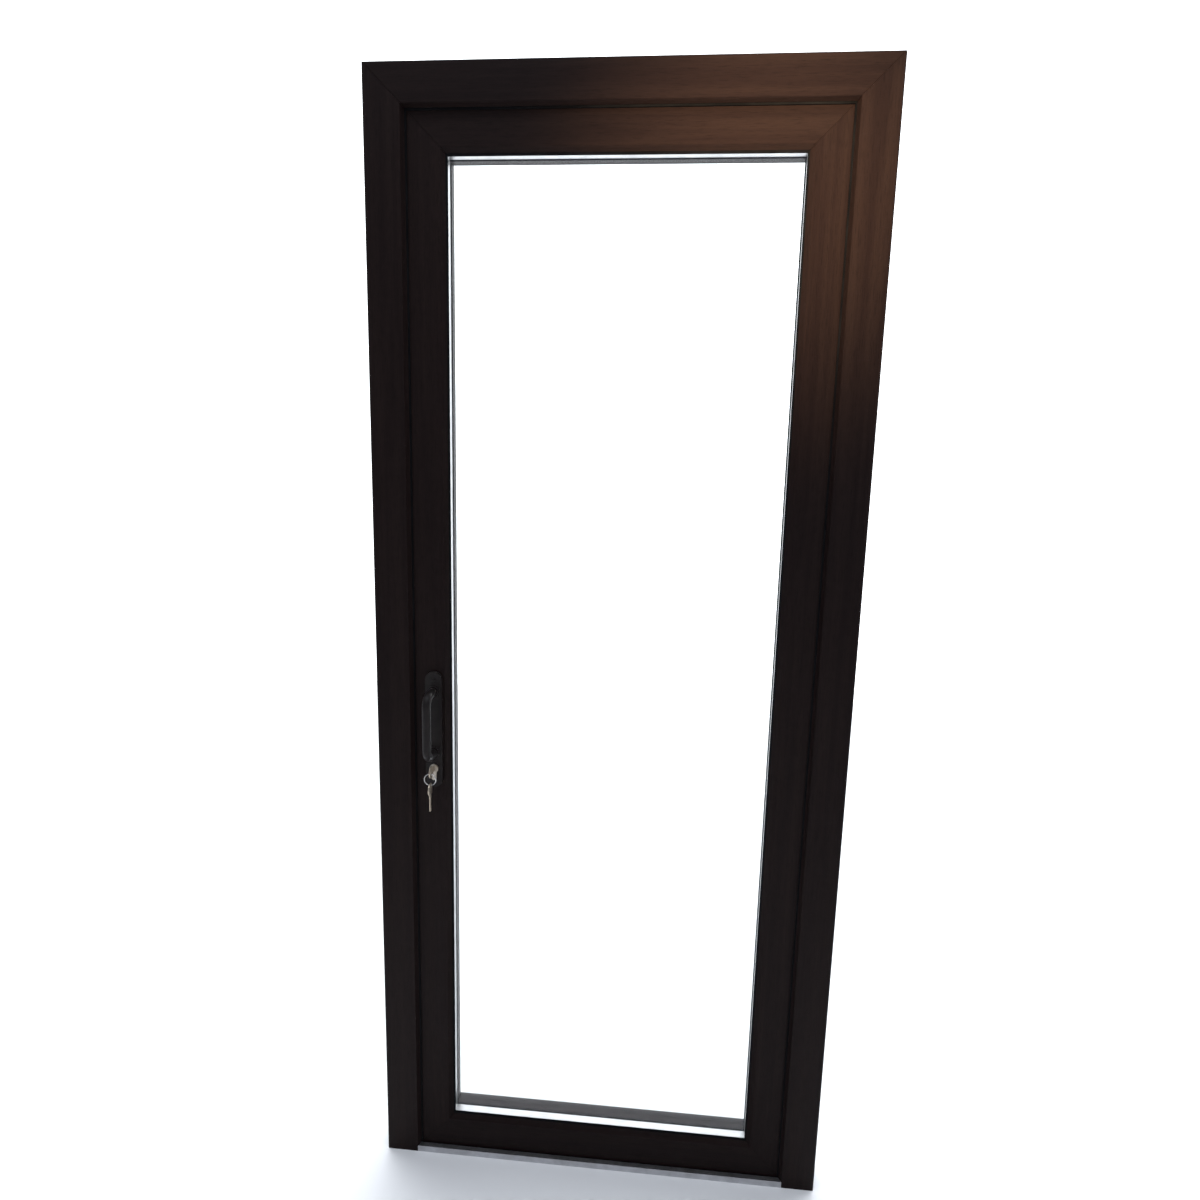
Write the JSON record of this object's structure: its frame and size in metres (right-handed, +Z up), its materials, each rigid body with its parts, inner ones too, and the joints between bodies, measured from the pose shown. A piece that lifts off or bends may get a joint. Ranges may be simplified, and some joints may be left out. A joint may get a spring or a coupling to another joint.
{
  "type": "glass door with its frame",
  "caption": "Glazed entrance door leaf hung in its frame, with double glazing, pull handles, keyed mortise lock, roller catch, surface hinges and a low threshold.",
  "frame": {"origin": "middle of the frame's foot, on the finished floor, half way through the frame's depth", "axes": "+X along the door's width towards the hinge side, +Y into the room (the leaf opens this way), +Z up"},
  "size_m": [0.88, 0.19, 2.08],
  "materials": {
    "glass": "clear float glass",
    "spacer": "mill",
    "seal": "matte",
    "brush": "matte pile",
    "black_plastic": "matte",
    "threshold": "anodised",
    "handle_paint": "satin",
    "hinge_paint": "satin",
    "nickel": "satin nickel plating",
    "key_brass": "nickel plated",
    "ring_steel": "polished",
    "galvanised_steel": "galvanised",
    "steel": "zinc plated",
    "brown_foil": "satin foil"
  },
  "bodies": {
    "frame": {"frame_head": "brown_foil", "frame_hinge_jamb": "brown_foil", "frame_lock_jamb": "brown_foil", "frame_reinforcement": "galvanised_steel", "frame_gasket": "seal", "threshold": "threshold", "threshold_block_left": "black_plastic", "threshold_block_right": "black_plastic", "lock_strike": "steel", "strike_screws": "steel", "hinge_jamb_plate_low": "hinge_paint", "hinge_jamb_plate_mid": "hinge_paint", "hinge_jamb_plate_high": "hinge_paint", "hinge_pins": "steel", "hinge_jamb_screws": "steel"},
    "leaf": {"leaf_top_rail": "brown_foil", "leaf_bottom_rail": "brown_foil", "leaf_hinge_stile": "brown_foil", "leaf_lock_stile": "brown_foil", "leaf_reinforcement": "galvanised_steel", "leaf_gasket": "seal", "brush_seal": "brush", "bead_top": "brown_foil", "bead_bottom": "brown_foil", "bead_hinge_side": "brown_foil", "bead_lock_side": "brown_foil", "outer_glazing_gasket": "seal", "inner_glazing_gasket": "seal", "outer_pane": "glass", "inner_pane": "glass", "spacer_bar": "spacer", "edge_sealant": "seal", "setting_blocks": "black_plastic", "lock_faceplate": "steel", "lock_case": "steel", "faceplate_screws": "steel", "outside_plate": "handle_paint", "outside_pull": "handle_paint", "inside_plate": "handle_paint", "inside_pull": "handle_paint", "plate_screws": "handle_paint", "cylinder_body": "nickel", "inside_plug": "nickel", "cylinder_screw": "steel", "hinge_leaf_plate_low": "hinge_paint", "hinge_leaf_plate_mid": "hinge_paint", "hinge_leaf_plate_high": "hinge_paint", "hinge_bushes": "black_plastic", "hinge_leaf_screws": "steel"},
    "plug": {"cylinder_plug": "nickel", "cylinder_cam": "steel", "key": "key_brass"},
    "ring": {"key_ring": "ring_steel"},
    "spare": {"spare_key": "key_brass"},
    "bolt": {"deadbolt": "nickel"},
    "catch": {"roller_carrier": "nickel", "roller_pin": "steel"},
    "roller": {"catch_roller": "nickel"}
  },
  "joints": [
    {"name": "leaf_swing", "type": "hinge", "parent": "frame", "child": "leaf", "pos_m": [0.408, 0.056, 1.04], "axis": [0, 0, -1], "range_deg": [0, 95]},
    {"name": "key_turn", "type": "hinge", "parent": "leaf", "child": "plug", "pos_m": [-0.332, 0.008, 0.85], "axis": [0, 1, 0], "range_deg": [0, 90]},
    {"name": "bolt_slide", "type": "slide", "parent": "leaf", "child": "bolt", "axis": [-1, 0, 0], "range_m": [0, 0.0201]},
    {"name": "ring_swing", "type": "hinge", "parent": "plug", "child": "ring", "pos_m": [-0.332, -0.057, 0.8486], "axis": [-1, 0, 0], "range_deg": [-3, 60]},
    {"name": "spare_swing", "type": "hinge", "parent": "ring", "child": "spare", "pos_m": [-0.332, -0.057, 0.8266], "axis": [-1, 0, 0], "range_deg": [-5, 40]},
    {"name": "catch_press", "type": "slide", "parent": "leaf", "child": "catch", "axis": [1, 0, 0], "range_m": [0, 0.006], "stiffness_N_per_m": 1500, "springref_m": -0.004},
    {"name": "roller_spin", "type": "hinge", "parent": "catch", "child": "roller", "pos_m": [-0.3815, 0.008, 0.942], "axis": [0, 0, 1], "continuous": true}
  ],
  "couplings": [
    {"joint": "bolt_slide", "follows": "key_turn", "m_per_rad": 0.01273}
  ]
}
